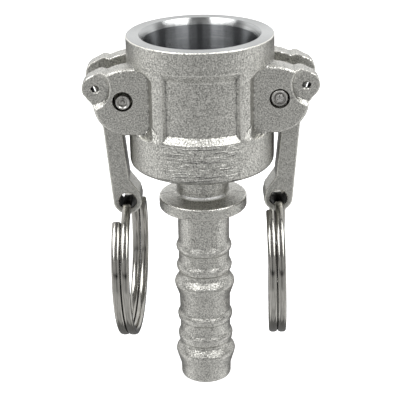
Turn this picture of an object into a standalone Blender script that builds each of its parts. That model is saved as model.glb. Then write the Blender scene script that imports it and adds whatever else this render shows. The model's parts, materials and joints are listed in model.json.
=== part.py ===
"""Half-inch camlock coupling with a hose shank, standing on the end of its shank.

Frame: origin at the centre of the shank's end face, +Z up along the bore, cam arms at +X and -X.
Seen from -Y, the right-hand arm is the one at +X. Everything is at rest with both arms closed.
"""

import math

import bmesh
import bpy
from mathutils import Matrix

MM = 0.001

# Driving dimensions, in millimetres.
HEIGHT = 82.6           # shank end face to socket rim
RIM_R = 15.85           # outer wall of the socket
MOUTH_R = 13.1          # socket rim's inner edge, at the top of the lead-in chamfer
BORE_R = 12.15          # socket bore, for a 24 mm adapter
CHAMFER_H = 1.3         # height of the lead-in chamfer
GROOVE_R = 13.5         # gasket groove
GROOVE_TOP = 60.4
FLOOR_Z = 56.0          # socket floor
SHANK_BORE_R = 4.3      # waterway through the shank
NECK_R = 5.85
FLANGE_R = 9.8
FLANGE_TOP = 45.8
FLANGE_BOTTOM = 43.0
TUBE_R = 5.8            # shank between its barbs
SMALL_BARB_R = 6.33
BIG_BARB_R = 6.9

PIN_X = 16.5            # cam pin axis, from the bore's axis
PIN_Z = 70.3
PIN_R = 2.0
PIN_HOLE_R = 2.1
EAR_IN = 3.5            # inner face of an ear, from the middle plane
EAR_OUT = 8.3           # outer face of an ear
WINDOW_HALF = 3.42      # half the width of the slot in the socket wall
BOSS_OUT = 7.4          # recessed face round the safety hole
BOSS_X = 22.15
BOSS_Z = 72.85
BOSS_R = 2.9
SAFETY_R = 1.4

ARM_HALF = 3.2          # half the arm's depth
ARM_EDGE = 0.35         # rounding of the arm's edges
TIP_U = 0.2             # pull-ring hole, from the cam pin's axis
TIP_W = -24.8
TIP_R = 3.2
RING_HOLE_R = 1.85
CAM_R = 4.1             # low side of the cam
NOSE_R = 6.6            # high side of the cam, which presses into the adapter's groove
NOSE_TIP_R = 1.0

RING_R = 15.95          # pull ring, to the middle of its wire
RING_PITCH = 1.95
RING_AXIAL = 1.8        # wire section, along the ring's axis
RING_RADIAL = 1.5       # wire section, across it
RING_DROP = 0.4         # the wire's middle below the hole's centre

GASKET_OUT_R = 13.1
GASKET_IN_R = 7.15
GAP = 0.3               # between pieces that rest on each other

BODY_STEPS = 44
GASKET_STEPS = 32
ROUND_STEPS = 20
RING_STEP = 9           # degrees of wire between two sections


# Helpers ------------------------------------------------------------------------------------------

def clear_scene():
    for obj in list(bpy.data.objects):
        bpy.data.objects.remove(obj, do_unlink=True)


def new_collection(name):
    collection = bpy.data.collections.new(name)
    bpy.context.scene.collection.children.link(collection)
    return collection


def metal(name, colour, roughness, metallic=1.0):
    material = bpy.data.materials.new(name)
    material.use_nodes = True
    shader = material.node_tree.nodes["Principled BSDF"]
    shader.inputs["Base Color"].default_value = (*colour, 1.0)
    shader.inputs["Roughness"].default_value = roughness
    shader.inputs["Metallic"].default_value = metallic
    return material


def arc(x, z, radius, start, end, steps):
    """Points on an arc, from start to end in degrees, both ends included."""
    points = []
    for step in range(steps + 1):
        angle = math.radians(start + (end - start) * step / steps)
        points.append((x + radius * math.cos(angle), z + radius * math.sin(angle)))
    return points


def circle(x, z, radius, sides=ROUND_STEPS):
    return arc(x, z, radius, 0, 360, sides)[:-1]


def add_object(name, mesh, collection, material=None):
    obj = bpy.data.objects.new(name, mesh)
    collection.objects.link(obj)
    if material:
        mesh.materials.append(material)
    return obj


def shade(obj):
    obj.data.shade_smooth()
    obj.data.set_sharp_from_angle(angle=math.radians(32))


def to_mesh(obj, name, collection):
    """A curve or modified object as a plain mesh object, with its seams welded."""
    graph = bpy.context.evaluated_depsgraph_get()
    mesh = bpy.data.meshes.new_from_object(obj.evaluated_get(graph))
    build = bmesh.new()
    build.from_mesh(mesh)
    bmesh.ops.remove_doubles(build, verts=build.verts, dist=0.001 * MM)
    bmesh.ops.recalc_face_normals(build, faces=build.faces)
    build.to_mesh(mesh)
    build.free()
    mesh.materials.clear()
    made = add_object(name, mesh, collection)
    made.matrix_world = obj.matrix_world.copy()
    bpy.data.objects.remove(obj, do_unlink=True)
    return made


def turned(name, profile, collection, steps, along_y=False):
    """A profile of (radius, height) points, turned about Z, or about Y.

    It is a closed loop, or an open line from the axis to the axis.
    """
    mesh = bpy.data.meshes.new(name)
    points = [(r * MM, 0.0, z * MM) for r, z in profile]
    edges = [(i, i + 1) for i in range(len(points) - 1)]
    if profile[0][0] > 0:
        edges.append((len(points) - 1, 0))
    mesh.from_pydata(points, edges, [])
    obj = add_object(name + "_profile", mesh, collection)
    screw = obj.modifiers.new("turn", "SCREW")
    screw.axis = "Z"
    screw.angle = math.tau
    screw.steps = steps
    screw.render_steps = steps
    screw.use_merge_vertices = True
    screw.merge_threshold = 0.0005 * MM
    made = to_mesh(obj, name, collection)
    if along_y:
        made.data.transform(Matrix.Rotation(math.pi / 2, 4, "X"))
    return made


def flat_curve(name, outlines, collection):
    """Closed outlines as one 2D curve object that isn't rendered itself."""
    curve = bpy.data.curves.new(name, "CURVE")
    curve.dimensions = "2D"
    for outline in outlines:
        spline = curve.splines.new("POLY")
        spline.points.add(len(outline) - 1)
        for point, (x, z) in zip(spline.points, outline):
            point.co = (x * MM, z * MM, 0.0, 1.0)
        spline.use_cyclic_u = True
    obj = bpy.data.objects.new(name, curve)
    obj.hide_render = True
    obj.display_type = "WIRE"
    collection.objects.link(obj)
    return obj


def plate(name, outlines, half_depth, edge, collection):
    """Outlines in the XZ plane, the later ones being holes, made half_depth thick each way in Y."""
    flat = flat_curve(name + "_curve", outlines, collection)
    flat.data.fill_mode = "BOTH"
    flat.data.extrude = (half_depth - edge) * MM
    flat.data.bevel_depth = edge * MM
    flat.data.bevel_resolution = 0
    flat.data.offset = -edge * MM
    bpy.context.view_layer.update()
    made = to_mesh(flat, name, collection)
    made.data.transform(Matrix.Rotation(math.pi / 2, 4, "X"))
    return made


def loft(name, sections, collection):
    """A closed solid through sections that all have the same number of points."""
    build = bmesh.new()
    rings = [[build.verts.new([value * MM for value in point]) for point in points]
             for points in sections]
    for low, high in zip(rings, rings[1:]):
        for i, vertex in enumerate(low):
            j = (i + 1) % len(low)
            build.faces.new((vertex, low[j], high[j], high[i]))
    ends = [build.faces.new(rings[0]), build.faces.new(rings[-1])]
    bmesh.ops.triangulate(build, faces=ends)
    bmesh.ops.recalc_face_normals(build, faces=build.faces)
    mesh = bpy.data.meshes.new(name)
    build.to_mesh(mesh)
    build.free()
    return add_object(name, mesh, collection)


def boolean(obj, tool, operation="DIFFERENCE"):
    tool.hide_render = True
    tool.display_type = "WIRE"
    modifier = obj.modifiers.new(tool.name, "BOOLEAN")
    modifier.operation = operation
    modifier.solver = "EXACT"
    modifier.object = tool


def mirrored(points, side):
    """The outline on the other side of the bore, still in the same turning sense."""
    if side > 0:
        return points
    return [(-x, z) for x, z in reversed(points)]


# The cast body ------------------------------------------------------------------------------------

def small_barb(top, edge, bottom):
    """A small rounded bead on the shank, from its top down."""
    return [(TUBE_R, top), (SMALL_BARB_R - 0.1, edge + 0.35), (SMALL_BARB_R, edge - 0.1),
            (SMALL_BARB_R - 0.17, bottom + 0.35), (TUBE_R, bottom)]


def big_barb(top, edge, bottom):
    """A large barb: a short steep shoulder above, and a long taper below."""
    return [(TUBE_R, top), (BIG_BARB_R - 0.12, edge + 0.25), (BIG_BARB_R, edge - 0.3),
            (BIG_BARB_R - 0.2, edge - 1.1), (TUBE_R + 0.05, bottom)]


def body_profile():
    bowl = arc(RIM_R - 1.4, 55.1, 1.4, 0, -70, 5)
    outside = [(MOUTH_R, HEIGHT), (RIM_R - 0.3, HEIGHT), (RIM_R, HEIGHT - 0.3)] + bowl
    outside += [(NECK_R + 0.7, 50.75), (NECK_R, 50.2), (NECK_R, 47.1), (NECK_R + 0.9, 46.4)]
    outside += [(FLANGE_R - 0.25, FLANGE_TOP), (FLANGE_R, FLANGE_TOP - 0.25),
                (FLANGE_R, FLANGE_BOTTOM + 0.25), (FLANGE_R - 0.25, FLANGE_BOTTOM)]
    outside += [(TUBE_R, FLANGE_BOTTOM)]
    outside += small_barb(34.6, 33.3, 32.2) + small_barb(29.7, 28.5, 27.2)
    outside += big_barb(26.1, 24.4, 20.8)
    outside += small_barb(17.1, 16.0, 14.6) + small_barb(12.1, 10.9, 9.3)
    outside += big_barb(8.6, 6.8, 2.8)
    outside += [(TUBE_R, 0.3), (TUBE_R - 0.3, 0.0)]
    inside = [(SHANK_BORE_R + 0.3, 0.0), (SHANK_BORE_R, 0.3), (SHANK_BORE_R, 50.2),
              (7.2, FLOOR_Z), (GROOVE_R, FLOOR_Z), (GROOVE_R, GROOVE_TOP), (BORE_R, GROOVE_TOP),
              (BORE_R, HEIGHT - CHAMFER_H)]
    return outside + inside


def ear_outline():
    """One ear in the XZ plane at +X: its lower lobe, the boss, the dip above it and the top edge."""
    root_x = 12.9
    lobe = arc(15.9, 69.4, 6.85, -90, -12, 7)
    boss = arc(BOSS_X, BOSS_Z, BOSS_R, -28, 60, 7)
    top = [(21.3, 76.5), (20.6, 76.55), (19.7, 76.25), (18.1, 76.9), (16.4, 77.3), (root_x, 77.4)]
    return [(root_x, 62.55)] + lobe + [(22.9, 69.3)] + boss + top


def add_ears(body, collection):
    for side in (1, -1):
        outline = mirrored(ear_outline(), side)
        for face in (1, -1):
            ear = plate(f"ear_{side}_{face}", [outline], (EAR_OUT - EAR_IN) / 2, 0.4, collection)
            ear.location.y = face * (EAR_OUT + EAR_IN) / 2 * MM
            boolean(body, ear, "UNION")


def cut_pockets(body, collection):
    """Flat-floored pockets that leave the ears' faces flush, with a bevelled lower corner."""
    floor = [(11.0, 64.4), (12.4, 62.6), (26.0, 62.6), (26.0, 76.9), (12.5, 76.9), (11.05, 75.2)]
    mouth = [(9.9, 62.2), (10.2, 61.9), (26.0, 61.9), (26.0, 77.1), (11.0, 77.1), (9.9, 75.9)]
    depth = 13.4
    for side in (1, -1):
        for face in (1, -1):
            sections = [[(side * x, face * EAR_OUT, z) for x, z in floor],
                        [(side * x, face * depth, z) for x, z in mouth]]
            boolean(body, loft(f"pocket_{side}_{face}", sections, collection))


def cut_panels(body, collection):
    """A shallow panel with bevelled sides and a curved floor, front and back."""
    floor_r = 14.8
    reach_r = 17.2
    steps = 8
    for face in (1, -1):
        rows = []
        for radius, spread, low, high in ((floor_r, 29.5, 64.15, 75.9),
                                          (reach_r, 33.2, 60.95, 80.05)):
            angles = [math.radians(spread * (2 * i / steps - 1)) for i in range(steps + 1)]
            low_edge = [(radius * math.sin(a), face * radius * math.cos(a), low) for a in angles]
            high_edge = [(x, y, high) for x, y, _ in reversed(low_edge)]
            rows.append((low_edge, high_edge))
        boolean(body, panel_cutter(f"panel_{face}", rows, collection))


def panel_cutter(name, rows, collection):
    """Strips between each row's low and high edge, and a wall round them."""
    build = bmesh.new()
    loops = []
    for low_edge, high_edge in rows:
        low = [build.verts.new([value * MM for value in point]) for point in low_edge]
        high = [build.verts.new([value * MM for value in point]) for point in reversed(high_edge)]
        for i in range(len(low) - 1):
            build.faces.new((low[i], low[i + 1], high[i + 1], high[i]))
        loops.append(low + high[::-1])
    for i, vertex in enumerate(loops[0]):
        j = (i + 1) % len(loops[0])
        build.faces.new((vertex, loops[0][j], loops[1][j], loops[1][i]))
    bmesh.ops.recalc_face_normals(build, faces=build.faces)
    mesh = bpy.data.meshes.new(name)
    build.to_mesh(mesh)
    build.free()
    return add_object(name, mesh, collection)


def cut_windows(body, collection):
    """The slots in the socket wall, which clear the nose of each cam as it swings through."""
    inside_x = 8.0
    outside_x = 18.0
    top_z = 76.4
    sweep = arc(PIN_X, PIN_Z, NOSE_R + 0.4, 235, 270, 3)
    outline = [(inside_x, sweep[0][1])] + sweep
    outline += [(outside_x, sweep[-1][1]), (outside_x, top_z), (inside_x, top_z)]
    for side in (1, -1):
        window = plate(f"window_{side}", [mirrored(outline, side)], WINDOW_HALF, 0, collection)
        boolean(body, window)


def cut_holes(body, collection):
    for side in (1, -1):
        for x, z, radius in ((PIN_X, PIN_Z, PIN_HOLE_R), (BOSS_X, BOSS_Z, SAFETY_R)):
            hole = plate(f"hole_{side}_{x}", [circle(side * x, z, radius)], 12, 0, collection)
            boolean(body, hole)


def cut_boss_recesses(body, collection):
    """The step that leaves each boss face lower than the ear's own face."""
    for side in (1, -1):
        for face in (1, -1):
            sections = []
            for y, x, z, radius in ((BOSS_OUT, 22.6, 72.85, 3.2), (9.2, 26.0, 73.75, 7.4)):
                sections.append([(side * px, face * y, pz) for px, pz in circle(x, z, radius)])
            boolean(body, loft(f"recess_{side}_{face}", sections, collection))


def make_body(parts, cutters, material):
    body = turned("coupler_body", body_profile(), parts, BODY_STEPS)
    body.data.materials.append(material)
    add_ears(body, cutters)
    cut_pockets(body, cutters)
    cut_panels(body, cutters)
    cut_windows(body, cutters)
    cut_holes(body, cutters)
    cut_boss_recesses(body, cutters)
    shade(body)
    return body


# The moving pieces --------------------------------------------------------------------------------

def arm_outline():
    """A cam arm at +X, closed, measured from the cam pin's axis."""
    lean = -4.7
    points = arc(TIP_U, TIP_W, TIP_R, 180, 360 + lean, 12)
    for angle in range(10, 151, 10):
        flat = max(0.0, (90 - angle) / 80)
        radius = CAM_R + 1.5 * flat ** 2
        points.append((radius * math.cos(math.radians(angle)),
                       radius * math.sin(math.radians(angle))))
    points += [(-4.6, 1.5)] + arc(NOSE_TIP_R - NOSE_R, -0.6, NOSE_TIP_R, 140, 260, 5)
    points += [(-3.6, -4.0), (-1.0, -5.6), (0.75, -8.0), (-0.35, -19.7), (-2.6, -22.9)]
    return points


def make_arms(parts, material):
    arms = {}
    for side, name in ((-1, "left_cam_arm"), (1, "right_cam_arm")):
        outlines = [arm_outline(), circle(0, 0, PIN_HOLE_R), circle(TIP_U, TIP_W, RING_HOLE_R)]
        arm = plate(name, [mirrored(o, side) for o in outlines], ARM_HALF, ARM_EDGE, parts)
        arm.location = (side * PIN_X * MM, 0, PIN_Z * MM)
        arm.data.materials.append(material)
        shade(arm)
        arms[side] = arm
    return arms


def pin_profile(half_length, dish_r):
    """From one end's centre, round the outside, to the other end's centre."""
    end = [(0.0, half_length - 0.45), (dish_r - 0.2, half_length - 0.45), (dish_r, half_length),
           (PIN_R - 0.2, half_length), (PIN_R, half_length - 0.2)]
    return end + [(r, -z) for r, z in reversed(end)]


def make_pins(parts, material):
    for side, name, half_length, dish_r in ((-1, "left_cam_pin", 7.4, 1.2),
                                            (1, "right_cam_pin", 8.15, 0.9)):
        pin = turned(name, pin_profile(half_length, dish_r), parts, ROUND_STEPS, along_y=True)
        pin.location = (side * PIN_X * MM, 0, PIN_Z * MM)
        pin.data.materials.append(material)
        shade(pin)


def wire_section(collection):
    """The pull ring's wire section, a rectangle with its corners cut, as a closed curve."""
    across = RING_RADIAL / 2
    along = RING_AXIAL / 2
    corner = 0.45
    outline = [(across, along - corner), (across - corner, along)]
    outline += [(-x, z) for x, z in reversed(outline)]
    outline += [(-x, -z) for x, z in outline]
    return flat_curve("wire_section", [outline], collection)


def ring_path(start, end):
    """Two turns of wire round X. Angle 0 is the wire's middle, in the arm's hole."""
    steps = round((end - start) / RING_STEP)
    points = []
    for step in range(steps + 1):
        degrees = start + (end - start) * step / steps
        angle = math.radians(degrees)
        points.append((RING_R * math.cos(angle), RING_R * math.sin(angle),
                       RING_PITCH * degrees / 360))
    return points


def make_rings(parts, cutters, material):
    section = wire_section(cutters)
    for side, name, start, end, yaw in ((-1, "left_pull_ring", -327, 311, -4.3),
                                        (1, "right_pull_ring", -336, 318, -1.5)):
        curve = bpy.data.curves.new(name, "CURVE")
        curve.dimensions = "3D"
        curve.twist_mode = "Z_UP"
        curve.bevel_mode = "OBJECT"
        curve.bevel_object = section
        curve.use_fill_caps = True
        spline = curve.splines.new("POLY")
        path = ring_path(start, end)
        spline.points.add(len(path) - 1)
        for point, place in zip(spline.points, path):
            point.co = (*[value * MM for value in place], 1.0)
        wire = bpy.data.objects.new(name + "_curve", curve)
        parts.objects.link(wire)
        ring = to_mesh(wire, name, parts)
        lower = Matrix.Translation((0, 0, -(RING_R + RING_DROP) * MM))
        upright = Matrix.Rotation(math.pi / 2, 4, "Y") @ Matrix.Rotation(math.pi, 4, "Z")
        ring.data.transform(Matrix.Rotation(math.radians(yaw), 4, "Z") @ lower @ upright)
        ring.location = (side * (PIN_X + TIP_U) * MM, 0, (PIN_Z + TIP_W) * MM)
        ring.data.materials.append(material)
        shade(ring)


def make_gasket(parts, material):
    low = FLOOR_Z + GAP
    high = GROOVE_TOP - GAP
    profile = [(GASKET_IN_R + 0.2, high), (GASKET_OUT_R - 0.2, high), (GASKET_OUT_R, high - 0.2),
               (GASKET_OUT_R, low + 0.2), (GASKET_OUT_R - 0.2, low), (GASKET_IN_R + 0.2, low),
               (GASKET_IN_R, low + 0.2), (GASKET_IN_R, high - 0.2)]
    gasket = turned("gasket", profile, parts, GASKET_STEPS)
    gasket.data.materials.append(material)
    shade(gasket)


def main():
    clear_scene()
    parts = new_collection("camlock_coupling")
    cutters = new_collection("cutters")
    cast = metal("cast_stainless", (0.50, 0.49, 0.46), 0.42)
    arm_metal = metal("cast_stainless_arm", (0.46, 0.45, 0.42), 0.38)
    pin_metal = metal("turned_steel", (0.56, 0.55, 0.53), 0.28)
    ring_metal = metal("spring_steel", (0.58, 0.57, 0.55), 0.2)
    rubber = metal("black_rubber", (0.02, 0.02, 0.02), 0.7, metallic=0.0)
    make_body(parts, cutters, cast)
    make_arms(parts, arm_metal)
    make_pins(parts, pin_metal)
    make_rings(parts, cutters, ring_metal)
    make_gasket(parts, rubber)


main()
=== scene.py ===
"""Looks for the half-inch camlock coupling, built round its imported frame.

Shapes are made in millimetres, in the frame's axes, and scaled to metres when they are finished.
"""

import json
import math

import bmesh
import bpy
import numpy as np
from mathutils import Matrix, Vector


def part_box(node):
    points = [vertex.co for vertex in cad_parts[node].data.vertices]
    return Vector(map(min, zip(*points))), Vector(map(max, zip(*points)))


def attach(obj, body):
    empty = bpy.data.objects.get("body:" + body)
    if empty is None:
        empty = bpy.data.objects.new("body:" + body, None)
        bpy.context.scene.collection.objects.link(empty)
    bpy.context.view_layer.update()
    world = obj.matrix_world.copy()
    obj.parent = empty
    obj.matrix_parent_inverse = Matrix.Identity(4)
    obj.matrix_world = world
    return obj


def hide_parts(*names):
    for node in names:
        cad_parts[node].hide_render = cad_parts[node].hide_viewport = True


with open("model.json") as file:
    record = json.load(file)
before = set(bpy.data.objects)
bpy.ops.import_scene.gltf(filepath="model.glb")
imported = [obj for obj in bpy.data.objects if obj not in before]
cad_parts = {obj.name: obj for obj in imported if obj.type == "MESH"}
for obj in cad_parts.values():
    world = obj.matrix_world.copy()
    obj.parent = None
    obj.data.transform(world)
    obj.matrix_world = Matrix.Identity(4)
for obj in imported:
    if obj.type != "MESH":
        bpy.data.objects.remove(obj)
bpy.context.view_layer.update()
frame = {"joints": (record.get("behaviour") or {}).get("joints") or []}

MM = 0.001

joints = {joint["name"]: [value / MM for value in joint["pos_m"]] for joint in frame["joints"]}
PIN_X = joints["right_arm_hinge"][0]
PIN_Z = joints["right_arm_hinge"][2]
TIP_X = joints["right_ring_swing"][0]
TIP_Z = joints["right_ring_swing"][2]
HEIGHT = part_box("coupler_body")[1].z / MM

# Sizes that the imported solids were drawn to, in millimetres.
RIM_R = 15.85
MOUTH_R = 13.1
BORE_R = 12.15
CHAMFER_H = 1.3
GROOVE_R = 13.5
GROOVE_TOP = 60.4
FLOOR_Z = 56.0
CONE_Z = 50.2           # lower end of the cone under the socket floor
SHANK_BORE_R = 4.3
BOWL_CORNER_R = 1.4
BOWL_CORNER_Z = 55.1
NECK_R = 5.85
FOOT_R = 0.9            # fillet at the neck's foot
FOOT_Z = 47.2
FLANGE_R = 9.8
FLANGE_TOP = 45.8
FLANGE_BOTTOM = 43.0
TUBE_R = 5.8
SMALL_BARB_R = 6.33
BIG_BARB_R = 6.9
PIN_R = 2.0
EAR_IN = 3.5
EAR_OUT = 8.3
BOSS_OUT = 7.4
BOSS_X = 22.15
BOSS_Z = 72.85
BOSS_R = 2.9
ARM_HALF = 3.2
TIP_R = 3.2
RING_HOLE_R = 1.85
CAM_R = 4.1
NOSE_R = 6.6
NOSE_TIP_R = 1.0
RING_R = 15.95
RING_PITCH = 1.95
RING_AXIAL = 1.92
RING_RADIAL = 1.5
RING_DROP = 0.4
GASKET_OUT_R = 13.1
GASKET_IN_R = 7.15

FINE_STEPS = 128        # round a large turned surface
SMALL_STEPS = 48        # round a pin or a hole
BODY_VOXEL = 0.2        # mesh size of the cast body
ARM_VOXEL = 0.18        # and of an arm
THROUGH = 12.0          # half the depth of a cutter that passes right through the ears
DRILL_R = PIN_R + 0.18  # holes in the ears for the cam pins
OFF_GRID = Matrix.Rotation(math.radians(11), 4, Vector((1.0, 0.6, 0.3)))

DARK_LINE = (0.05, 0.05, 0.05)

workshop = bpy.data.collections.new("workshop")
bpy.context.scene.collection.children.link(workshop)


# Shapes -------------------------------------------------------------------------------------------

def arc(x, z, radius, start, end, steps):
    """Points on an arc, from start to end in degrees, both ends included."""
    points = []
    for step in range(steps + 1):
        angle = math.radians(start + (end - start) * step / steps)
        points.append((x + radius * math.cos(angle), z + radius * math.sin(angle)))
    return points


def circle(x, z, radius, sides=SMALL_STEPS):
    return arc(x, z, radius, 0, 360, sides)[:-1]


def mirrored(points, side):
    """The outline on the other side of the bore, still in the same turning sense."""
    if side > 0:
        return points
    return [(-x, z) for x, z in reversed(points)]


def mesh_object(name, build):
    bmesh.ops.remove_doubles(build, verts=build.verts, dist=0.001)
    bmesh.ops.recalc_face_normals(build, faces=build.faces)
    mesh = bpy.data.meshes.new(name)
    build.to_mesh(mesh)
    build.free()
    obj = bpy.data.objects.new(name, mesh)
    workshop.objects.link(obj)
    return obj


def applied(obj):
    """The object with its modifiers made part of its mesh."""
    graph = bpy.context.evaluated_depsgraph_get()
    mesh = bpy.data.meshes.new_from_object(obj.evaluated_get(graph))
    obj.modifiers.clear()
    obj.data = mesh
    return obj


def turned(name, profile, steps):
    """A profile of (radius, height) points turned about Z: a loop, or a line from axis to axis."""
    build = bmesh.new()
    rows = [build.verts.new((r, 0, z)) for r, z in profile]
    edges = [build.edges.new(pair) for pair in zip(rows, rows[1:])]
    if profile[0][0] > 0:
        edges.append(build.edges.new((rows[-1], rows[0])))
    bmesh.ops.spin(build, geom=rows + edges, axis=(0, 0, 1), cent=(0, 0, 0), angle=math.tau,
                   steps=steps, use_merge=True)
    return mesh_object(name, build)


def mesh_of(name, curve):
    """A curve as a closed mesh, with its caps welded on."""
    wire = bpy.data.objects.new(name + "_curve", curve)
    workshop.objects.link(wire)
    graph = bpy.context.evaluated_depsgraph_get()
    build = bmesh.new()
    build.from_mesh(bpy.data.meshes.new_from_object(wire.evaluated_get(graph)))
    bpy.data.objects.remove(wire)
    return mesh_object(name, build)


def plate(name, outlines, half_depth, edge):
    """Outlines in the XZ plane, the later ones being holes, made half_depth thick each way in Y."""
    curve = bpy.data.curves.new(name, "CURVE")
    curve.dimensions = "2D"
    curve.fill_mode = "BOTH"
    curve.extrude = half_depth - edge
    curve.bevel_depth = edge
    curve.bevel_resolution = 3
    curve.offset = -edge
    for outline in outlines:
        spline = curve.splines.new("POLY")
        spline.points.add(len(outline) - 1)
        for point, (x, z) in zip(spline.points, outline):
            point.co = (x, z, 0.0, 1.0)
        spline.use_cyclic_u = True
    flat = mesh_of(name, curve)
    flat.data.transform(Matrix.Rotation(math.pi / 2, 4, "X"))
    return flat


def loft(name, sections):
    """A closed solid through sections that all have the same number of points."""
    build = bmesh.new()
    rings = [[build.verts.new(point) for point in points] for points in sections]
    for low, high in zip(rings, rings[1:]):
        for i, vertex in enumerate(low):
            j = (i + 1) % len(low)
            build.faces.new((vertex, low[j], high[j], high[i]))
    ends = [build.faces.new(rings[0]), build.faces.new(rings[-1])]
    bmesh.ops.triangulate(build, faces=ends)
    return mesh_object(name, build)


def cut(obj, tool, solver="EXACT"):
    """Takes the tool's shape out of the object, and clears the tool away."""
    modifier = obj.modifiers.new(tool.name, "BOOLEAN")
    modifier.operation = "DIFFERENCE"
    modifier.solver = solver
    modifier.object = tool
    applied(obj)
    bpy.data.objects.remove(tool)


def joined(name, pieces):
    """One object from several, whose shells may cross."""
    build = bmesh.new()
    for piece in pieces:
        build.from_mesh(piece.data)
        bpy.data.objects.remove(piece)
    mesh = bpy.data.meshes.new(name)
    build.to_mesh(mesh)
    build.free()
    obj = bpy.data.objects.new(name, mesh)
    workshop.objects.link(obj)
    return obj


def clouds(name, size):
    texture = bpy.data.textures.new(name, "CLOUDS")
    texture.noise_scale = size
    texture.noise_depth = 2
    return texture


def cast(obj, voxel):
    """An even mesh with a casting's soft edges and slightly uneven skin.

    It is made tilted, because the even mesh has spikes where a surface faces along its grid's
    diagonal, and an upright round wall would have a whole row of them.
    """
    obj.data.transform(OFF_GRID)
    remesh = obj.modifiers.new("even_mesh", "REMESH")
    remesh.mode = "VOXEL"
    remesh.voxel_size = voxel
    soften = obj.modifiers.new("soft_edges", "SMOOTH")
    soften.factor = 0.5
    coarse = (3.0, 0.07)
    fine = (0.7, 0.035)
    for size, height in (coarse, fine):
        skin = obj.modifiers.new("skin", "DISPLACE")
        skin.texture = clouds("skin_clouds", size)
        skin.texture_coords = "LOCAL"
        skin.strength = height
        skin.mid_level = 0.5
    applied(obj)
    obj.data.transform(OFF_GRID.inverted())
    return obj


def spread(first, second, to_first, to_second, count):
    """For each vertex, the average of what its edges bring to it."""
    total = np.zeros(count)
    edges = np.zeros(count)
    for ends, values in ((first, to_first), (second, to_second)):
        np.add.at(total, ends, values)
        np.add.at(edges, ends, 1)
    return total / np.maximum(edges, 1)


def mark_edge_bend(obj):
    """Stores how far each vertex stands out from its neighbours: above 0 on edges, below in corners."""
    mesh = obj.data
    count = len(mesh.vertices)
    places = np.empty(count * 3)
    mesh.vertices.foreach_get("co", places)
    places = places.reshape(-1, 3)
    normals = np.empty(count * 3)
    mesh.vertices.foreach_get("normal", normals)
    normals = normals.reshape(-1, 3)
    ends = np.empty(len(mesh.edges) * 2, np.int32)
    mesh.edges.foreach_get("vertices", ends)
    first, second = ends.reshape(-1, 2).T
    steps = places[second] - places[first]
    steps /= np.linalg.norm(steps, axis=1, keepdims=True) + 1e-9
    rise = spread(first, second, -(steps * normals[first]).sum(1), (steps * normals[second]).sum(1),
                  count)
    near_rise = spread(first, second, rise[second], rise[first], count)
    edge_bend = mesh.attributes.new("edge_bend", "FLOAT", "POINT")
    edge_bend.data.foreach_set("value", (rise + near_rise) / 2)
    return obj


# The cast body ------------------------------------------------------------------------------------

def small_barb(top, edge, bottom):
    """A small rounded bead on the shank, from its top down."""
    return [(TUBE_R, top), (SMALL_BARB_R - 0.1, edge + 0.35), (SMALL_BARB_R + 0.03, edge),
            (SMALL_BARB_R - 0.12, bottom + 0.4), (TUBE_R, bottom)]


def big_barb(top, edge, bottom):
    """A large barb: a short steep shoulder above, and a long taper below."""
    return [(TUBE_R, top), (BIG_BARB_R - 0.12, edge + 0.25), (BIG_BARB_R, edge - 0.3),
            (BIG_BARB_R - 0.2, edge - 1.1), (TUBE_R + 0.05, bottom)]


def outside_profile():
    """The casting's outside, from the axis above the rim to the axis at the shank's end."""
    spare = 1.0
    profile = [(0.0, HEIGHT + spare), (RIM_R, HEIGHT + spare)]
    profile += arc(RIM_R - BOWL_CORNER_R, BOWL_CORNER_Z, BOWL_CORNER_R, 0, -70, 10)
    profile += [(NECK_R + 0.8, 50.8), (NECK_R + 0.2, 50.5), (NECK_R, 50.0)]
    profile += arc(NECK_R + FOOT_R, FOOT_Z, FOOT_R, 180, 255, 6)
    profile += [(FLANGE_R - 0.35, FLANGE_TOP), (FLANGE_R - 0.1, FLANGE_TOP - 0.1),
                (FLANGE_R, FLANGE_TOP - 0.35), (FLANGE_R, FLANGE_BOTTOM + 0.3),
                (FLANGE_R - 0.3, FLANGE_BOTTOM), (TUBE_R + 0.2, FLANGE_BOTTOM),
                (TUBE_R, FLANGE_BOTTOM - 0.2)]
    profile += small_barb(34.6, 33.3, 32.2) + small_barb(29.7, 28.5, 27.2)
    profile += big_barb(26.1, 24.4, 20.8)
    profile += small_barb(17.1, 16.0, 14.6) + small_barb(12.1, 10.9, 9.3)
    profile += big_barb(8.6, 6.8, 2.8)
    profile += [(TUBE_R, 0.45), (TUBE_R - 0.15, 0.1), (TUBE_R - 0.45, 0.0), (0.0, 0.0)]
    return profile


def ear_outline():
    """One ear in the XZ plane at +X: its lower lobe, the boss, the dip above it and the top edge."""
    root_x = 12.9
    lobe = arc(15.9, 69.4, 6.85, -90, -12, 20)
    boss = arc(BOSS_X, BOSS_Z, BOSS_R, -28, 60, 20)
    top = [(21.3, 76.5), (20.6, 76.55), (19.7, 76.25), (18.1, 76.9), (16.4, 77.3), (root_x, 77.4)]
    return [(root_x, 62.55)] + lobe + [(22.9, 69.3)] + boss + top


def make_ears():
    """Four plates, rounded on their outer sides and stepped down round the safety holes."""
    ears = []
    middle = (EAR_IN + EAR_OUT) / 2
    for side in (1, -1):
        for face in (1, -1):
            outline = mirrored(ear_outline(), side)
            outer = plate("ear", [outline], (EAR_OUT - EAR_IN) / 2, 0.75)
            outer.data.transform(Matrix.Translation((0, face * middle, 0)))
            inner = plate("ear_inside", [outline], 1.2, 0.0)
            inner.data.transform(Matrix.Translation((0, face * (EAR_IN + 1.2), 0)))
            sections = []
            for y, x, z, radius in ((BOSS_OUT, 22.6, 72.85, 3.2), (9.2, 26.0, 73.75, 7.4)):
                sections.append([(side * px, face * y, pz) for px, pz in circle(x, z, radius)])
            cut(outer, loft("recess", sections))
            ears += [outer, inner]
    return ears


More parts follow.
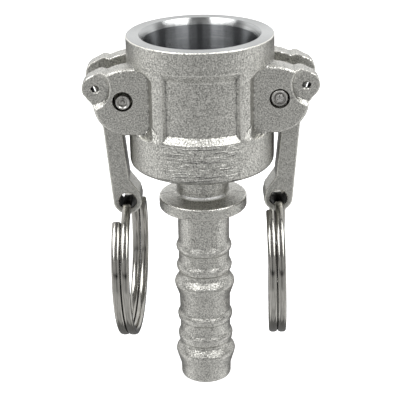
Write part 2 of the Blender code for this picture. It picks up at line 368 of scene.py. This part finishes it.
def cut_pockets(wall):
    """Flat-floored pockets that leave the ears' faces flush, with a bevelled lower corner."""
    floor = [(11.0, 64.4), (12.4, 62.6), (26.0, 62.6), (26.0, 76.9), (12.5, 76.9), (11.05, 75.2)]
    mouth = [(9.9, 62.2), (10.2, 61.9), (26.0, 61.9), (26.0, 77.1), (11.0, 77.1), (9.9, 75.9)]
    facet_low = [(10.7, 65.5), (12.0, 64.3), (14.6, 67.4), (13.2, 68.5)]
    facet_high = [(8.1, 63.3), (10.3, 61.3), (12.9, 64.4), (10.6, 66.3)]
    for side in (1, -1):
        for face in (1, -1):
            for low, high, start, end in ((floor, mouth, EAR_OUT, 13.4),
                                          (facet_low, facet_high, 9.4, 12.8)):
                sections = [[(side * x, face * start, z) for x, z in low],
                            [(side * x, face * end, z) for x, z in high]]
                cut(wall, loft("pocket", sections))


def cut_panels(wall):
    """A shallow panel with bevelled sides and a curved floor, front and back.

    Each section is its radius, its reach in degrees to each side, and its lowest and highest z.
    """
    steps = 24
    floor = (14.8, 29.5, 64.15, 75.9)
    mouth = (17.2, 33.2, 60.95, 80.05)
    for face in (1, -1):
        sections = []
        for radius, reach, low, high in (floor, mouth):
            angles = [math.radians(reach * (2 * i / steps - 1)) for i in range(steps + 1)]
            edge = [(radius * math.sin(a), face * radius * math.cos(a)) for a in angles]
            sections.append((edge, low, high))
        cut(wall, panel_cutter(sections))


def panel_cutter(sections):
    """Strips between each section's low and high edge, and a wall round them."""
    build = bmesh.new()
    loops = []
    for edge, low, high in sections:
        below = [build.verts.new((x, y, low)) for x, y in edge]
        above = [build.verts.new((x, y, high)) for x, y in edge]
        for i in range(len(edge) - 1):
            build.faces.new((below[i], below[i + 1], above[i + 1], above[i]))
        loops.append(below + above[::-1])
    for i, vertex in enumerate(loops[0]):
        j = (i + 1) % len(loops[0])
        build.faces.new((vertex, loops[0][j], loops[1][j], loops[1][i]))
    return mesh_object("panel", build)


def cut_windows(wall):
    """The slots in the socket wall that the cams swing through."""
    sweep = arc(PIN_X, PIN_Z, NOSE_R + 0.4, 235, 270, 8)
    outline = [(8.0, sweep[0][1])] + sweep + [(18.0, sweep[-1][1]), (18.0, 76.4), (8.0, 76.4)]
    for side in (1, -1):
        cut(wall, plate("window", [mirrored(outline, side)], EAR_IN - 0.08, 0.0))


def machining_profile():
    """What is turned out of the casting: waterway, socket floor, groove, bore, mouth and rim face."""
    above = HEIGHT + 3
    return [(0.0, -1.0), (TUBE_R + 1.0, -1.0), (TUBE_R + 1.0, 0.0), (SHANK_BORE_R + 0.3, 0.0),
            (SHANK_BORE_R, 0.3), (SHANK_BORE_R, CONE_Z),
            (7.2, FLOOR_Z), (GROOVE_R, FLOOR_Z), (GROOVE_R, GROOVE_TOP), (BORE_R, GROOVE_TOP),
            (BORE_R, HEIGHT - CHAMFER_H), (MOUTH_R, HEIGHT), (RIM_R - 0.2, HEIGHT),
            (RIM_R + 1.0, HEIGHT - 1.2), (RIM_R + 1.0, above), (0.0, above)]


def make_body():
    wall = turned("wall", outside_profile(), FINE_STEPS)
    cut_pockets(wall)
    cut_panels(wall)
    cut_windows(wall)
    body = cast(joined("cast_body", [wall] + make_ears()), BODY_VOXEL)
    cut(body, turned("machining", machining_profile(), FINE_STEPS), solver="MANIFOLD")
    for side in (1, -1):
        drill = plate("drill", [circle(side * PIN_X, PIN_Z, DRILL_R)], THROUGH, 0.0)
        cut(body, drill, solver="MANIFOLD")
        cut_safety_holes(body, side)
    return mark_edge_bend(body)


def cut_safety_holes(body, side):
    """A shallow dimple in each boss, hollow behind, with a narrow slit right through it."""
    dimple = [(0.0, -0.5), (0.6, -0.45), (0.85, -0.1), (1.0, 0.0), (1.2, 0.5), (0.0, 0.5)]
    hollow = [(0.0, -2.9), (1.5, -2.9), (1.5, 0.0), (0.0, 0.0)]
    skin = 1.1
    for face in (1, -1):
        outward = Matrix.Rotation(-face * math.pi / 2, 4, "X")
        for profile, x, y, z in ((dimple, BOSS_X, BOSS_OUT, BOSS_Z),
                                 (hollow, BOSS_X + 0.2, BOSS_OUT - skin, BOSS_Z - 0.6)):
            tool = turned("boss_tool", profile, SMALL_STEPS)
            tool.data.transform(Matrix.Translation((side * x, face * y, z)) @ outward)
            cut(body, tool, solver="MANIFOLD")
    cut(body, slot(side, (22.18, 72.25), (22.53, 73.3), 0.16), solver="MANIFOLD")


def slot(side, low, high, radius):
    """A cutter along Y, between two points at +X with its ends rounded."""
    lean = math.degrees(math.atan2(high[1] - low[1], high[0] - low[0]))
    outline = arc(*high, radius, lean - 90, lean + 90, 10)
    outline += arc(*low, radius, lean + 90, lean + 270, 10)
    return plate("slot", [mirrored(outline, side)], THROUGH, 0.0)


# Everything else ----------------------------------------------------------------------------------

def arm_outline():
    """A cam arm at +X, closed, measured from the cam pin's axis."""
    lean = -4.7
    points = arc(TIP_X - PIN_X, TIP_Z - PIN_Z, TIP_R, 180, 360 + lean, 40)
    for angle in range(10, 151, 5):
        flat = max(0.0, (90 - angle) / 80)
        radius = CAM_R + 1.5 * flat ** 2
        points.append((radius * math.cos(math.radians(angle)),
                       radius * math.sin(math.radians(angle))))
    points += [(-4.6, 1.5)] + arc(NOSE_TIP_R - NOSE_R, -0.6, NOSE_TIP_R, 140, 260, 12)
    points += [(-3.6, -4.0), (-1.0, -5.6), (0.75, -8.0), (-0.35, -19.7), (-2.6, -22.9)]
    return points


def make_arm(side):
    outlines = [arm_outline(), circle(0, 0, PIN_R + 0.3),
                circle(TIP_X - PIN_X, TIP_Z - PIN_Z, RING_HOLE_R)]
    arm = plate("arm", [mirrored(o, side) for o in outlines], ARM_HALF, 0.3)
    arm.data.transform(Matrix.Translation((side * PIN_X, 0, PIN_Z)))
    return mark_edge_bend(cast(arm, ARM_VOXEL))


def ringed_end(half):
    """A pin's end with a raised ring, down to its shaft."""
    return [(0.0, half - 0.1), (0.3, half - 0.12), (0.5, half - 0.5), (0.9, half - 0.6),
            (1.02, half - 0.15), (1.22, half), (1.48, half - 0.08), (1.56, half - 0.3),
            (1.62, half - 0.9), (1.64, half - 1.9), (PIN_R - 0.1, half - 2.2)]


def domed_end(half):
    """A pin's end with a low dome in a groove, down to its shaft."""
    return [(0.0, half + 0.05), (0.5, half), (0.85, half - 0.2), (1.08, half - 0.55),
            (1.22, half - 0.5), (1.34, half - 0.05), (1.62, half), (1.74, half - 0.12),
            (1.78, half - 0.9), (PIN_R, half - 1.3)]


def stake(pin, half):
    """Three small punch marks in each end of the pin."""
    spacing = 0.55
    for face in (1, -1):
        outward = Matrix.Rotation(-face * math.pi / 2, 4, "X")
        for x, z in arc(0.0, 0.0, spacing, 90, 330, 2):
            dot = turned("punch", [(0.0, 0.4), (0.26, 0.4), (0.0, -0.4)], 12)
            dot.data.transform(Matrix.Translation((x, face * half, z)) @ outward)
            cut(pin, dot)


def make_pin(side):
    """The left pin sits lower in its hole, with a raised ring. The right one is staked flush."""
    left = side < 0
    half = 8.1 if left else 8.15
    drop = 0.3 if left else 0.0
    end = ringed_end(half) if left else domed_end(half)
    pin = turned("pin", end + [(r, -z) for r, z in reversed(end)], SMALL_STEPS)
    pin.data.transform(Matrix.Rotation(math.pi / 2, 4, "X"))
    if not left:
        stake(pin, half)
    pin.data.transform(Matrix.Translation((side * PIN_X, 0, PIN_Z - drop)))
    return pin


def wire_section():
    """The pull ring's wire section, a flattened circle, as a closed curve."""
    curve = bpy.data.curves.new("wire_section", "CURVE")
    curve.dimensions = "2D"
    spline = curve.splines.new("POLY")
    steps = 28
    squareness = 0.75       # 1 is an ellipse, and 0 a rectangle
    spline.points.add(steps - 1)
    for step, point in enumerate(spline.points):
        angle = math.tau * step / steps
        across = math.copysign(abs(math.cos(angle)) ** squareness, math.cos(angle))
        along = math.copysign(abs(math.sin(angle)) ** squareness, math.sin(angle))
        point.co = (across * RING_RADIAL / 2, along * RING_AXIAL / 2, 0.0, 1.0)
    spline.use_cyclic_u = True
    section = bpy.data.objects.new("wire_section", curve)
    workshop.objects.link(section)
    return section


def make_ring(side, section):
    """Two turns of wire round X. Angle 0 is the wire's middle, in the arm's hole."""
    start, end, yaw = (-336, 318, -1.5) if side > 0 else (-327, 311, -3.5)
    curve = bpy.data.curves.new("ring", "CURVE")
    curve.dimensions = "3D"
    curve.twist_mode = "Z_UP"
    curve.bevel_mode = "OBJECT"
    curve.bevel_object = section
    curve.use_fill_caps = True
    steps = round((end - start) / 3)
    spline = curve.splines.new("POLY")
    spline.points.add(steps)
    for step, point in enumerate(spline.points):
        degrees = start + (end - start) * step / steps
        angle = math.radians(degrees)
        point.co = (RING_R * math.cos(angle), RING_R * math.sin(angle),
                    RING_PITCH * degrees / 360, 1.0)
    ring = mesh_of("ring", curve)
    lower = Matrix.Translation((0, 0, -(RING_R + RING_DROP)))
    upright = Matrix.Rotation(math.pi / 2, 4, "Y") @ Matrix.Rotation(math.pi, 4, "Z")
    place = Matrix.Translation((side * TIP_X, 0, TIP_Z))
    ring.data.transform(place @ Matrix.Rotation(math.radians(yaw), 4, "Z") @ lower @ upright)
    return ring


def make_gasket():
    gap = 0.3
    inner = 0.6
    outer = 0.4
    low = FLOOR_Z + gap
    high = GROOVE_TOP - gap
    profile = arc(GASKET_IN_R + inner, high - inner, inner, 180, 90, 6)
    profile += arc(GASKET_OUT_R - outer, high - outer, outer, 90, 0, 6)
    profile += arc(GASKET_OUT_R - outer, low + outer, outer, 0, -90, 6)
    profile += arc(GASKET_IN_R + inner, low + inner, inner, -90, -180, 6)
    return turned("gasket_ring", profile, FINE_STEPS)


# Materials ----------------------------------------------------------------------------------------

def feed(links, socket, value):
    """Sets a socket to a number or a colour, or links another node's output to it."""
    if isinstance(value, bpy.types.NodeSocket):
        links.new(value, socket)
    else:
        socket.default_value = value


def math_node(nodes, links, operation, values):
    node = nodes.new("ShaderNodeMath")
    node.operation = operation
    for socket, value in zip(node.inputs, values):
        feed(links, socket, value)
    return node.outputs[0]


class Surface:
    """A material whose nodes work in millimetres, in the piece's own axes."""

    def __init__(self, name):
        self.material = bpy.data.materials.new(name)
        self.material.use_nodes = True
        self.nodes = self.material.node_tree.nodes
        self.links = self.material.node_tree.links
        self.shader = self.nodes["Principled BSDF"]
        coordinates = self.nodes.new("ShaderNodeTexCoord")
        scale = self.nodes.new("ShaderNodeVectorMath")
        scale.operation = "SCALE"
        scale.inputs["Scale"].default_value = 1 / MM
        self.links.new(coordinates.outputs["Object"], scale.inputs[0])
        self.place = scale.outputs[0]

    def set(self, **values):
        for name, value in values.items():
            self.shader.inputs[name.replace("_", " ")].default_value = value

    def math(self, operation, *values):
        return math_node(self.nodes, self.links, operation, values)

    def axes(self):
        """The place's X, Y and Z, by name."""
        node = self.nodes.new("ShaderNodeSeparateXYZ")
        self.links.new(self.place, node.inputs[0])
        return node.outputs

    def stretched(self, x, y, z):
        """The place with its axes scaled, so that a pattern on it runs along the smallest."""
        node = self.nodes.new("ShaderNodeVectorMath")
        node.operation = "MULTIPLY"
        self.links.new(self.place, node.inputs[0])
        node.inputs[1].default_value = (x, y, z)
        return node.outputs[0]

    def noise(self, scale, detail=2.0, place=None, roughness=0.5):
        node = self.nodes.new("ShaderNodeTexNoise")
        node.inputs["Scale"].default_value = scale
        node.inputs["Detail"].default_value = detail
        node.inputs["Roughness"].default_value = roughness
        self.links.new(place or self.place, node.inputs["Vector"])
        return node.outputs["Fac"]

    def remap(self, value, low, high, to_low, to_high):
        """Carries low to to_low and high to to_high, and holds the value between them."""
        node = self.nodes.new("ShaderNodeMapRange")
        self.links.new(value, node.inputs["Value"])
        for name, number in (("From Min", low), ("From Max", high), ("To Min", to_low),
                             ("To Max", to_high)):
            node.inputs[name].default_value = number
        return node.outputs[0]

    def mix(self, factor, first, second):
        node = self.nodes.new("ShaderNodeMix")
        node.data_type = "RGBA"
        feed(self.links, node.inputs["Factor"], factor)
        for name, value in (("A", first), ("B", second)):
            feed(self.links, node.inputs[name], (*value, 1.0) if isinstance(value, tuple) else value)
        return node.outputs["Result"]

    def inside_hole(self, x, z, radius):
        """1 within the radius of a line along Y, on either side of the bore, and 0 outside it."""
        axes = self.axes()
        across = self.math("SUBTRACT", self.math("ABSOLUTE", axes["X"]), x)
        upward = self.math("SUBTRACT", axes["Z"], z)
        squares = self.math("MULTIPLY_ADD", across, across, self.math("MULTIPLY", upward, upward))
        return self.remap(self.math("SQRT", squares), radius, radius - 0.1, 0.0, 1.0)

    def colour(self, value):
        self.links.new(value, self.shader.inputs["Base Color"])

    def stain(self, factor, tone):
        """Mixes a tone over the colour already set."""
        below = self.shader.inputs["Base Color"].links[0].from_socket
        self.colour(self.mix(factor, below, tone))

    def roughness(self, value):
        self.links.new(value, self.shader.inputs["Roughness"])

    def bump(self, height, depth, strength=1.0):
        """Adds a height from 0 to 1, depth millimetres high, to the surface."""
        node = self.nodes.new("ShaderNodeBump")
        node.inputs["Distance"].default_value = depth * MM
        node.inputs["Strength"].default_value = strength
        self.links.new(height, node.inputs["Height"])
        normal = self.shader.inputs["Normal"]
        if normal.is_linked:
            self.links.new(normal.links[0].from_socket, node.inputs["Normal"])
        self.links.new(node.outputs[0], normal)


def cast_steel(name, tone, grain, shaded_holes):
    """Bead-blasted investment casting: fine grain, edges lightened as real wear and as painted
    highlight, and painted shade in corners and holes.

    The holes, each painted near black inside as shade, run along Y, each as its (x, z, radius).
    """
    surface = Surface(name)
    surface.set(Metallic=1.0)
    blotches = surface.noise(0.35, 3.0)
    speckle = surface.noise(3.5, 2.0, roughness=0.8)
    dark = tuple(value * (1 - 0.6 * grain) for value in tone)
    light = tuple(value * (1 + 0.6 * grain) for value in tone)
    base = surface.mix(surface.remap(speckle, 0.38, 0.62, 0.0, 1.0), dark, light)
    base = surface.mix(surface.remap(blotches, 0.3, 0.7, 0.0, 0.2), base, light)
    edge_bend = surface.nodes.new("ShaderNodeAttribute")
    edge_bend.attribute_name = "edge_bend"
    wear_and_sheen = surface.remap(edge_bend.outputs["Fac"], 0.03, 0.14, 0.0, 0.85)
    painted_corner_shade = surface.remap(edge_bend.outputs["Fac"], -0.04, -0.13, 0.0, 0.85)
    # Edges lightened towards white: partly real wear, partly a painted highlight.
    base = surface.mix(wear_and_sheen, base, tuple(min(1.0, value * 1.9) for value in tone))
    # Painted shade: concave corners and creases darkened towards near black.
    base = surface.mix(painted_corner_shade, base, tuple(value * 0.2 for value in tone))
    # Painted shade: inside each hole the colour is near black.
    for x, z, radius in shaded_holes:
        base = surface.mix(surface.inside_hole(x, z, radius), base, (0.012, 0.012, 0.014))
    surface.colour(base)
    surface.roughness(surface.math("SUBTRACT", surface.remap(speckle, 0.3, 0.7, 0.34, 0.26),
                                   surface.math("MULTIPLY", wear_and_sheen, 0.16)))
    surface.bump(surface.noise(2.8, 2.0, roughness=0.65), 0.12 * grain)
    return surface


def belt_marks(surface):
    """Short level scratches on the front and back of the bowl, below the panels."""
    axes = surface.axes()
    across = surface.math("ABSOLUTE", axes["X"])
    below_panel = surface.remap(axes["Z"], 63.0, 62.0, 0.0, 1.0)
    above_neck = surface.remap(axes["Z"], 50.0, 53.0, 0.0, 1.0)
    where = surface.math("MULTIPLY", surface.remap(across, 11.0, 6.0, 0.0, 1.0),
                         surface.math("MULTIPLY", below_panel, above_neck))
    marks = surface.noise(1.0, 2.0, surface.stretched(0.22, 0.22, 3.1), 0.6)
    surface.bump(surface.math("MULTIPLY", marks, where), 0.3)
    cut = surface.remap(marks, 0.56, 0.66, 0.0, 0.7)
    surface.stain(surface.math("MULTIPLY", cut, where), DARK_LINE)


def parting_line(surface):
    """The faint raised line that the mould's two halves leave, dark where it crosses the flange."""
    axes = surface.axes()
    line = surface.remap(surface.math("ABSOLUTE", axes["Y"]), 0.16, 0.05, 0.0, 1.0)
    below_neck = surface.remap(axes["Z"], 48.0, 46.5, 0.0, 1.0)
    surface.bump(surface.math("MULTIPLY", line, below_neck), 0.12)
    on_flange = surface.math("MULTIPLY", surface.remap(axes["Z"], 45.6, 45.75, 0.0, 0.8),
                             surface.remap(axes["Z"], 46.3, 46.2, 0.0, 1.0))
    surface.stain(surface.math("MULTIPLY", line, on_flange), DARK_LINE)


def painted_foot_highlight(surface):
    """A painted highlight, near white, on the smooth fillet at the neck's foot, in front and behind."""
    axes = surface.axes()
    fillet = surface.math("MULTIPLY", surface.remap(axes["Z"], 46.36, 46.46, 0.0, 1.0),
                          surface.remap(axes["Z"], 47.05, 46.95, 0.0, 1.0))
    in_front = surface.remap(surface.math("ABSOLUTE", axes["X"]), 5.1, 3.9, 0.0, 1.0)
    surface.stain(surface.math("MULTIPLY", fillet, in_front), (0.97, 0.97, 0.95))


def machined_steel():
    """Turned bore, mouth and rim face: tool marks run round, so highlights smear across them. The bore
    below the mouth's chamfer is painted much darker, as shade.
    """
    surface = Surface("machined_steel")
    surface.set(Metallic=1.0, Anisotropic=1.0, Anisotropic_Rotation=0.25)
    marks = surface.noise(1.0, 3.0, surface.stretched(0.05, 0.05, 9.0))
    bright = surface.mix(surface.remap(marks, 0.35, 0.65, 0.0, 1.0), (0.46, 0.47, 0.47),
                         (0.56, 0.57, 0.57))
    bore_top = HEIGHT - CHAMFER_H
    # Painted shade: the bore below the chamfer is darkened towards near black.
    painted_bore_shade = surface.remap(surface.axes()["Z"], bore_top, bore_top - 0.1, 0.0, 0.72)
    surface.colour(surface.mix(painted_bore_shade, bright, (0.05, 0.055, 0.065)))
    surface.roughness(surface.remap(marks, 0.3, 0.7, 0.21, 0.24))
    tangent = surface.nodes.new("ShaderNodeTangent")
    tangent.direction_type = "RADIAL"
    tangent.axis = "Z"
    surface.links.new(tangent.outputs[0], surface.shader.inputs["Tangent"])
    return surface.material


def wire_steel():
    """Drawn spring wire, bright outside, with faint marks along it and painted shade, near black, on
    the flanks that face its other turn.
    """
    surface = Surface("wire_steel")
    surface.set(Metallic=1.0)
    marks = surface.noise(1.0, 2.0, surface.stretched(7.0, 0.4, 0.4))
    base = surface.mix(surface.remap(marks, 0.35, 0.65, 0.0, 1.0), (0.34, 0.33, 0.305),
                       (0.46, 0.45, 0.42))
    facing = surface.nodes.new("ShaderNodeSeparateXYZ")
    coordinates = surface.nodes.new("ShaderNodeTexCoord")
    surface.links.new(coordinates.outputs["Normal"], facing.inputs[0])
    faces_other_turn = surface.math("ABSOLUTE", facing.outputs[0])
    # Painted shade: faces that point along the ring's axis, towards the other turn, go near black.
    surface.colour(surface.mix(surface.remap(faces_other_turn, 0.72, 0.97, 0.0, 1.0), base,
                               (0.04, 0.038, 0.035)))
    surface.roughness(surface.remap(surface.noise(1.5, 2.0), 0.3, 0.7, 0.10, 0.18))
    surface.bump(marks, 0.006)
    return surface.material


def pin_steel():
    surface = Surface("pin_steel")
    surface.set(Metallic=1.0)
    marks = surface.noise(3.0, 3.0)
    surface.colour(surface.mix(surface.remap(marks, 0.35, 0.65, 0.0, 1.0), (0.42, 0.415, 0.40),
                               (0.58, 0.57, 0.55)))
    surface.roughness(surface.remap(marks, 0.3, 0.7, 0.22, 0.36))
    surface.bump(marks, 0.02)
    return surface.material


def black_rubber():
    surface = Surface("black_rubber")
    bloom = surface.noise(0.5, 3.0)
    surface.colour(surface.mix(surface.remap(bloom, 0.35, 0.7, 0.0, 1.0), (0.012, 0.012, 0.013),
                               (0.035, 0.034, 0.033)))
    surface.roughness(surface.remap(bloom, 0.3, 0.7, 0.55, 0.72))
    surface.bump(surface.noise(5.0, 2.0), 0.02)
    return surface.material


# Assembly -----------------------------------------------------------------------------------------

def finish_piece(obj, name, material, body, node, sharp=40):
    """Scales a piece to metres and hands it to the frame in place of its CAD node."""
    obj.name = name
    obj.data.name = name
    obj.data.transform(Matrix.Scale(MM, 4))
    obj.data.materials.clear()
    obj.data.materials.append(material)
    obj.data.shade_smooth()
    obj.data.set_sharp_from_angle(angle=math.radians(sharp))
    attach(obj, body)
    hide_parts(node)
    return obj


def mark_machined(obj, material):
    """Gives the turned faces, which lie on the machining profile, their own material."""
    obj.data.materials.append(material)
    slack = 0.02
    for polygon in obj.data.polygons:
        x, y, z = (value / MM for value in polygon.center)
        radius = math.hypot(x, y)
        on_rim = z > HEIGHT - 0.01
        in_socket = z > CONE_Z and radius < min(MOUTH_R, turned_radius(z)) + slack
        if on_rim or in_socket or radius < SHANK_BORE_R + slack:
            polygon.material_index = 1


def turned_radius(height):
    """The machining profile's greatest radius at a height between the shank's end and the rim."""
    best = 0.0
    shank_end_to_mouth = slice(1, 12)
    profile = machining_profile()[shank_end_to_mouth]
    for (r0, z0), (r1, z1) in zip(profile, profile[1:]):
        if min(z0, z1) <= height <= max(z0, z1):
            share = 0.0 if z0 == z1 else (height - z0) / (z1 - z0)
            best = max(best, r0 + (r1 - r0) * share)
    return best


def assemble():
    # Painted shade, near black: the gap round each cam pin, and two overlapping spots at the outer side
    # of each boss's dimple.
    painted_dark_holes = ((PIN_X, PIN_Z, PIN_R + 0.15), (BOSS_X + 0.62, BOSS_Z + 0.1, 0.42),
                  (BOSS_X + 0.42, BOSS_Z - 0.4, 0.36))
    body_steel = cast_steel("cast_steel", (0.48, 0.475, 0.445), 1.0, painted_dark_holes)
    belt_marks(body_steel)
    parting_line(body_steel)
    painted_foot_highlight(body_steel)
    # The arm's ring hole is painted near black inside, as shade.
    arm_steel = cast_steel("cast_steel_arm", (0.46, 0.455, 0.425), 0.7,
                           [(TIP_X, TIP_Z, RING_HOLE_R + 0.1)])
    body = finish_piece(make_body(), "socket_casting", body_steel.material, "coupler",
                        "coupler_body")
    mark_machined(body, machined_steel())
    finish_piece(make_gasket(), "gasket_ring", black_rubber(), "coupler", "gasket")
    section = wire_section()
    pin_material = pin_steel()
    wire_material = wire_steel()
    for side, hand in ((-1, "left"), (1, "right")):
        finish_piece(make_arm(side), hand + "_lever", arm_steel.material, hand + "_arm",
                     hand + "_cam_arm")
        finish_piece(make_pin(side), hand + "_rivet", pin_material, "coupler", hand + "_cam_pin",
                     25)
        finish_piece(make_ring(side, section), hand + "_split_ring", wire_material,
                     hand + "_ring", hand + "_pull_ring")
    bpy.data.objects.remove(section)


# Studio -------------------------------------------------------------------------------------------

def add_camera():
    place = Vector((0.0, -0.25037, 0.15009))
    pitch = math.radians(22.9465)
    yaw = math.radians(-0.1573)
    roll = math.radians(-1.1977)
    forward = Vector((math.sin(yaw) * math.cos(pitch), math.cos(yaw) * math.cos(pitch),
                      -math.sin(pitch)))
    right = Vector((math.cos(yaw), -math.sin(yaw), 0.0))
    up = right.cross(forward)
    across = right * math.cos(roll) + up * math.sin(roll)
    upward = up * math.cos(roll) - right * math.sin(roll)
    data = bpy.data.cameras.new("camera")
    data.sensor_width = 36
    data.lens = 109.04
    data.clip_start = 0.01
    camera = bpy.data.objects.new("camera", data)
    bpy.context.scene.collection.objects.link(camera)
    camera.matrix_world = Matrix.Translation(place) @ Matrix((
        (across.x, upward.x, -forward.x, 0), (across.y, upward.y, -forward.y, 0),
        (across.z, upward.z, -forward.z, 0), (0, 0, 0, 1)))
    bpy.context.scene.camera = camera


def add_floor():
    """A white table lit from within, as under a product photograph. The part doesn't mirror it."""
    bpy.ops.mesh.primitive_plane_add(size=6.0, location=(0, 0, 0))
    floor = bpy.context.object
    floor.name = "floor"
    floor.visible_glossy = False
    material = bpy.data.materials.new("pale_floor")
    material.use_nodes = True
    shader = material.node_tree.nodes["Principled BSDF"]
    shader.inputs["Base Color"].default_value = (0.9, 0.9, 0.9, 1.0)
    shader.inputs["Roughness"].default_value = 0.9
    shader.inputs["Specular IOR Level"].default_value = 0.0
    shader.inputs["Emission Color"].default_value = (1.0, 1.0, 1.0, 1.0)
    shader.inputs["Emission Strength"].default_value = 0.6
    floor.data.materials.append(material)


class Room:
    """The studio round the part, as brightness by direction."""

    def __init__(self, base):
        world = bpy.data.worlds.new("studio")
        bpy.context.scene.world = world
        world.use_nodes = True
        self.nodes = world.node_tree.nodes
        self.links = world.node_tree.links
        coordinates = self.nodes.new("ShaderNodeTexCoord")
        split = self.nodes.new("ShaderNodeSeparateXYZ")
        self.links.new(coordinates.outputs["Generated"], split.inputs[0])
        x, y, z = split.outputs
        turn = self.math("ARCTAN2", x, self.math("MULTIPLY", y, -1.0))
        self.azimuth = self.math("MULTIPLY", self.math("ABSOLUTE", turn), 180 / math.pi)
        self.elevation = self.math("MULTIPLY", self.math("ARCSINE", z), 180 / math.pi)
        self.total = base

    def math(self, operation, *values):
        return math_node(self.nodes, self.links, operation, values)

    def band(self, angle, low, high, soft):
        """1 between two angles, falling to 0 over soft degrees outside them."""
        sides = []
        for start, end in ((low - soft, low), (high + soft, high)):
            step = self.nodes.new("ShaderNodeMapRange")
            step.interpolation_type = "SMOOTHSTEP"
            step.inputs["From Min"].default_value = start
            step.inputs["From Max"].default_value = end
            self.links.new(angle, step.inputs["Value"])
            sides.append(step.outputs[0])
        return self.math("MULTIPLY", *sides)

    def patch(self, azimuth, elevation, strength, soft=8):
        """Adds light between two azimuths, on both sides, and two elevations, in degrees."""
        shape = self.math("MULTIPLY", self.band(self.azimuth, *azimuth, soft),
                          self.band(self.elevation, *elevation, soft))
        self.total = self.math("ADD", self.total, self.math("MULTIPLY", shape, strength))

    def finish(self):
        background = self.nodes["Background"]
        background.inputs["Color"].default_value = (1.0, 1.0, 1.0, 1.0)
        self.links.new(self.total, background.inputs["Strength"])


def add_room():
    """Azimuth 0 is towards the camera. A tall softbox stands on each side of it."""
    room = Room(0.22)
    room.patch((27, 42), (28, 67), 4.0, 1.5)
    room.patch((44, 52), (30, 67), 3.0, 1.5)
    room.patch((52, 84), (35, 70), 4.0, 3)
    room.patch((0, 24), (3, 28), -0.05)
    room.patch((0, 24), (40, 70), 0.1)
    room.patch((8, 50), (8, 26), 0.4, 4)
    room.patch((0, 55), (-90, -5), 0.385, 9)
    room.patch((0, 6), (-22, 3), -0.24, 6)
    room.patch((0, 55), (-56, -27), 0.14, 6)
    room.patch((68, 110), (-60, -5), 0.9, 13)
    room.patch((110, 180), (5, 60), 0.85, 20)
    room.finish()


add_camera()
add_floor()
add_room()
assemble()
bpy.context.scene.view_settings.view_transform = "Standard"
